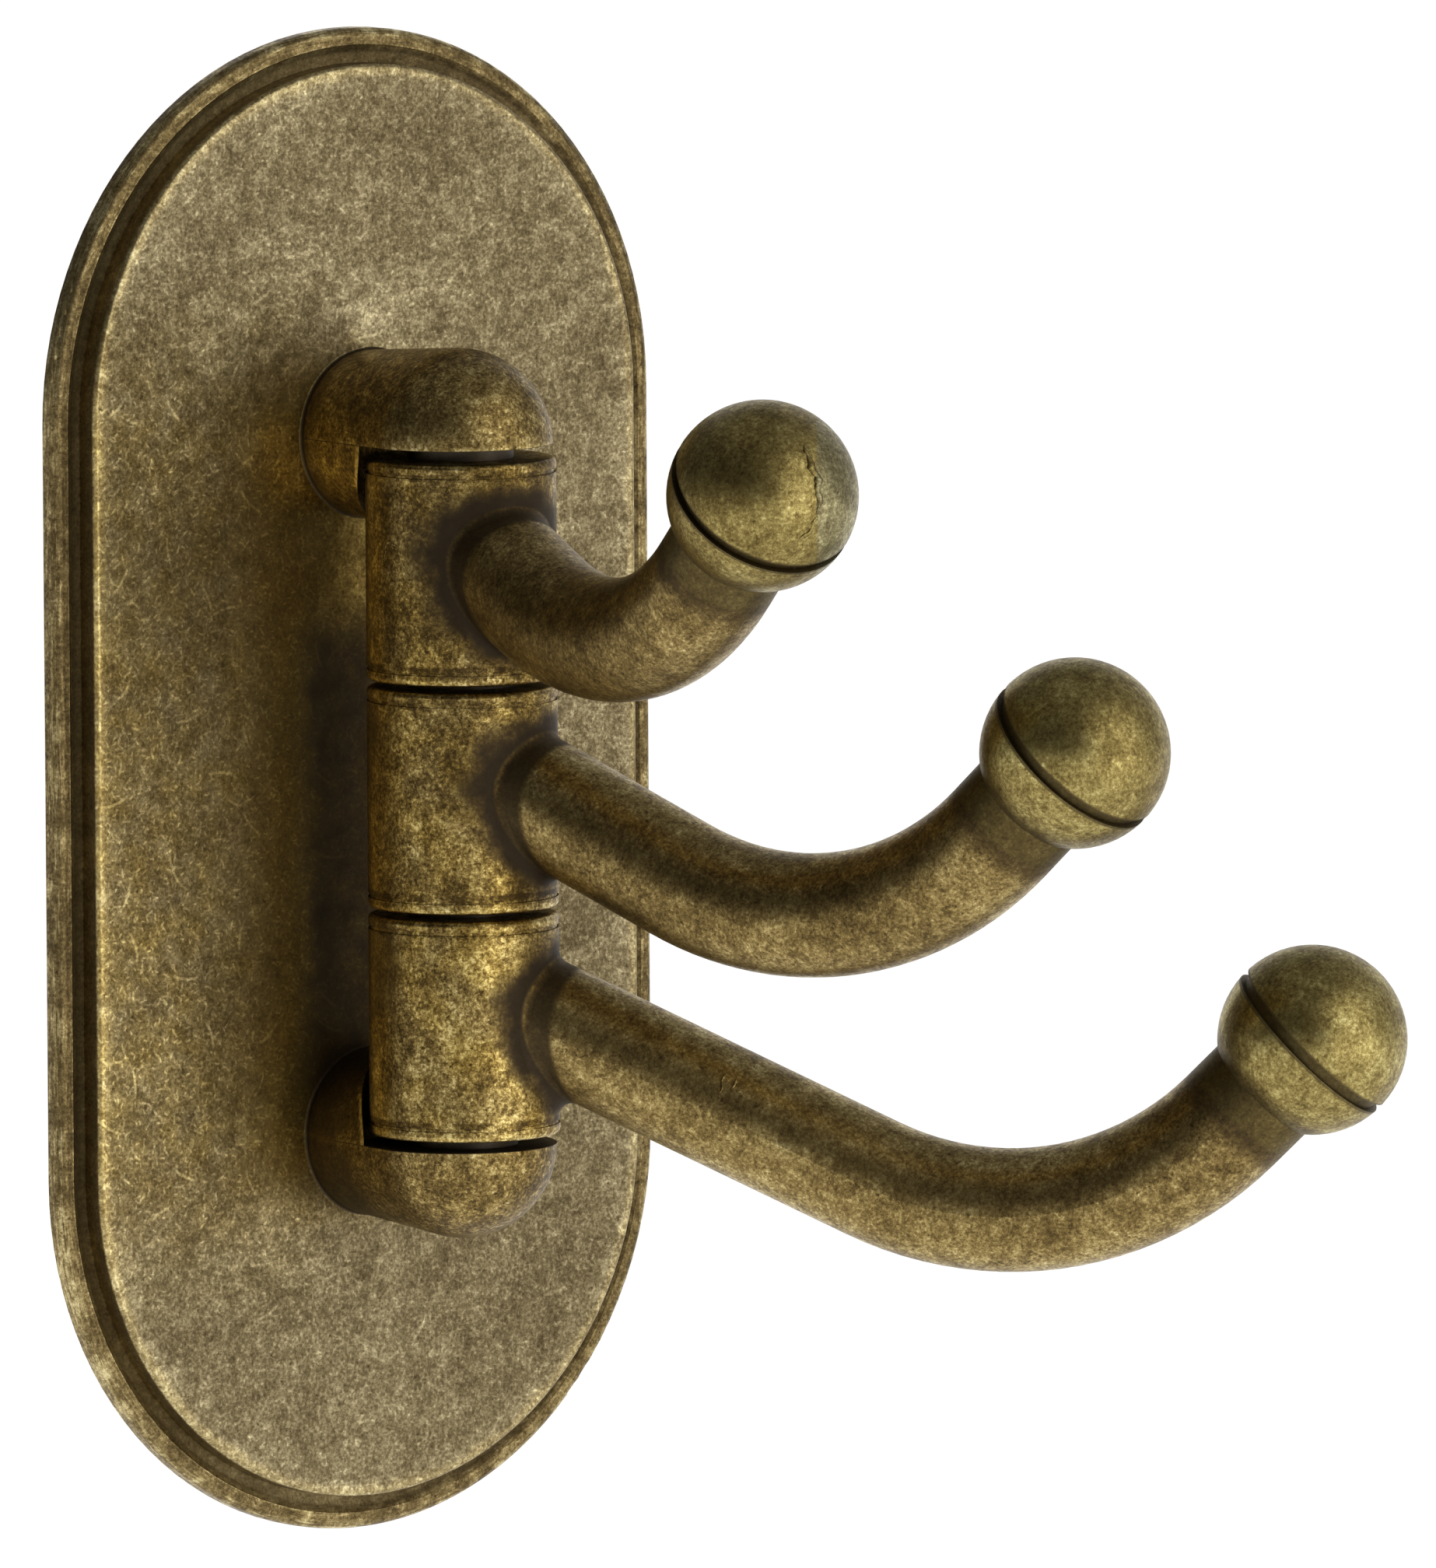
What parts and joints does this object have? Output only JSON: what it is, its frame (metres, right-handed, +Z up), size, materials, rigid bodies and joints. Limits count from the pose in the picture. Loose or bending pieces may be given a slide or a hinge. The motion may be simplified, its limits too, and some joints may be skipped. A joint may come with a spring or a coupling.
{
  "type": "robe hook",
  "caption": "Wall robe hook of aged brass: a round-ended backplate with domed posts and swinging ball-ended arms of different lengths on one pin.",
  "frame": {"origin": "middle of the backplate's wall side, on the wall's surface", "axes": "+Z up along the backplate, -Y out of the wall towards the room, +X to the right of a person who faces the wall"},
  "size_m": [0.0783, 0.0705, 0.1142],
  "materials": {
    "antique_brass": "distressed antique patina, satin, worn bright at the edges",
    "washer_brass": "dull",
    "pin_brass": "dull, its lower end dressed and aged with the post",
    "bracket_steel": "zinc-plated sheet",
    "screw_steel": "black oxide"
  },
  "bodies": {
    "wall_plate": {"backplate": "antique_brass", "bottom_washer": "washer_brass", "lower_washer": "washer_brass", "upper_washer": "washer_brass", "top_washer": "washer_brass", "pivot_pin": "pin_brass", "wall_bracket": "bracket_steel", "set_screw": "screw_steel"},
    "long_hook": {"long_hook": "antique_brass"},
    "middle_hook": {"middle_hook": "antique_brass"},
    "short_hook": {"short_hook": "antique_brass"}
  },
  "joints": [
    {"name": "long_hook_swing", "type": "hinge", "parent": "wall_plate", "child": "long_hook", "pos_m": [0, -0.0144, 0], "axis": [0, 0, 1], "range_deg": [-131, 49]},
    {"name": "middle_hook_swing", "type": "hinge", "parent": "wall_plate", "child": "middle_hook", "pos_m": [0, -0.0144, 0], "axis": [0, 0, 1], "range_deg": [-113, 67]},
    {"name": "short_hook_swing", "type": "hinge", "parent": "wall_plate", "child": "short_hook", "pos_m": [0, -0.0144, 0], "axis": [0, 0, 1], "range_deg": [-85, 95]}
  ]
}
